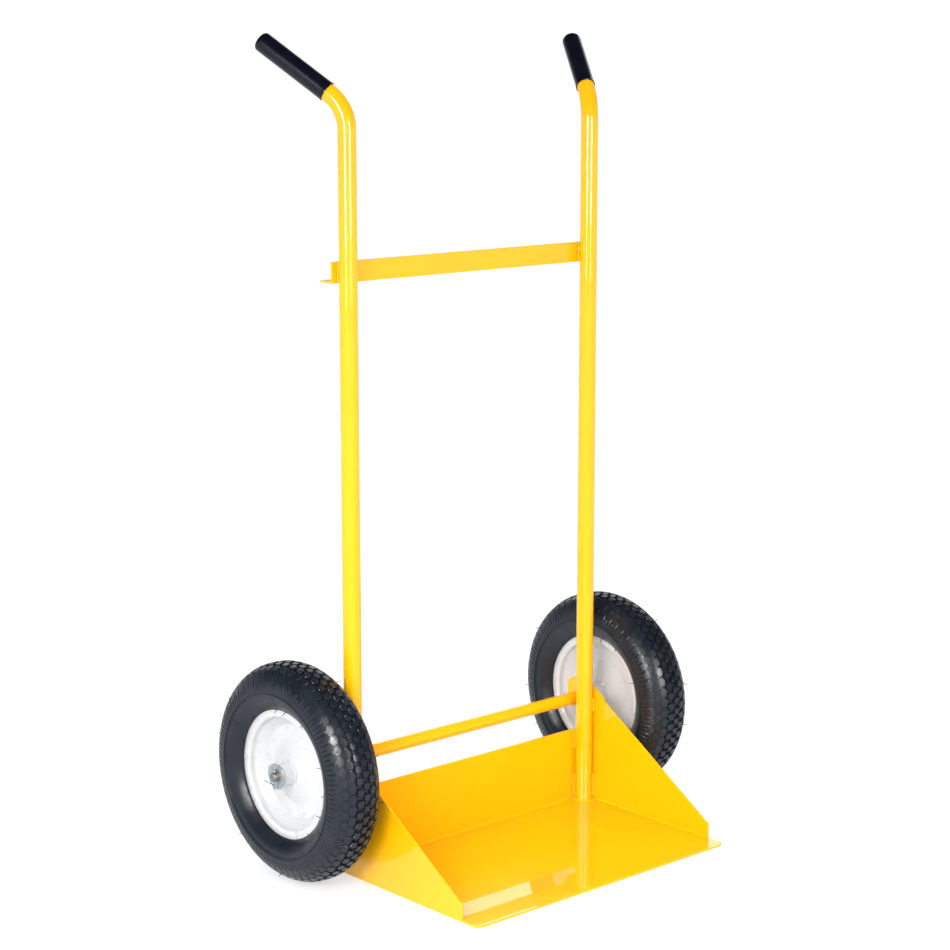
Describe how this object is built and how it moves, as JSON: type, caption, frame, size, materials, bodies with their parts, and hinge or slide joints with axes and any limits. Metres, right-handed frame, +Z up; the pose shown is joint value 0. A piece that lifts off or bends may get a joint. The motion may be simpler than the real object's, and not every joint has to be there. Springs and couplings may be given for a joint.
{
  "type": "hand truck",
  "caption": "Upright hand truck: bent-tube frame with angled grips, crossbar, scoop-shaped toe plate and pneumatic wheels on a through axle.",
  "frame": {"origin": "on the underside of the toe plate, midway between the uprights, on their centre plane", "axes": "+Z up along the uprights, +X to the right across the axle, -Y out along the scoop; the handles lean to +Y"},
  "size_m": [0.9282, 0.599, 1.5028],
  "materials": {
    "yellow_paint": "gloss powder coat",
    "white_paint": "gloss",
    "tyre_rubber": "semi-gloss moulded rubber",
    "tube_rubber": "matt",
    "grip_vinyl": "gloss",
    "black_plastic": "satin",
    "zinc_steel": "bright zinc plate",
    "bare_steel": "drawn bar, sawn end",
    "bearing_steel": "ground and polished"
  },
  "bodies": {
    "frame": {"left_upright": "yellow_paint", "right_upright": "yellow_paint", "left_grip": "grip_vinyl", "right_grip": "grip_vinyl", "crossbar": "yellow_paint", "toe_plate": "yellow_paint", "back_plate": "yellow_paint", "left_side_plate": "yellow_paint", "right_side_plate": "yellow_paint", "crossbar_welds": "yellow_paint", "upright_welds": "yellow_paint", "scoop_welds": "yellow_paint", "axle_welds": "yellow_paint", "axle_tube": "yellow_paint", "left_axle_lug": "yellow_paint", "right_axle_lug": "yellow_paint", "axle_rod": "bare_steel", "spacers": "zinc_steel", "inner_washers": "zinc_steel", "outer_washers": "zinc_steel", "left_split_pin": "zinc_steel", "right_split_pin": "zinc_steel", "bearing_inner_rings": "bearing_steel"},
    "left_wheel": {"left_tyre": "tyre_rubber", "left_inner_tube": "tube_rubber", "left_rim_outer": "white_paint", "left_rim_inner": "white_paint", "left_hub": "white_paint", "left_bearing_outer_rings": "bearing_steel", "left_bearing_balls": "bearing_steel", "left_bearing_shields": "bearing_steel", "left_valve_stem": "tube_rubber", "left_valve_cap": "black_plastic"},
    "right_wheel": {"right_tyre": "tyre_rubber", "right_inner_tube": "tube_rubber", "right_rim_outer": "white_paint", "right_rim_inner": "white_paint", "right_hub": "white_paint", "right_bearing_outer_rings": "bearing_steel", "right_bearing_balls": "bearing_steel", "right_bearing_shields": "bearing_steel", "right_valve_stem": "tube_rubber", "right_valve_cap": "black_plastic"}
  },
  "joints": [
    {"name": "left_wheel_spin", "type": "hinge", "parent": "frame", "child": "left_wheel", "pos_m": [-0.39, 0.04, 0.202], "axis": [1, 0, 0], "continuous": true},
    {"name": "right_wheel_spin", "type": "hinge", "parent": "frame", "child": "right_wheel", "pos_m": [0.39, 0.04, 0.202], "axis": [1, 0, 0], "continuous": true}
  ]
}
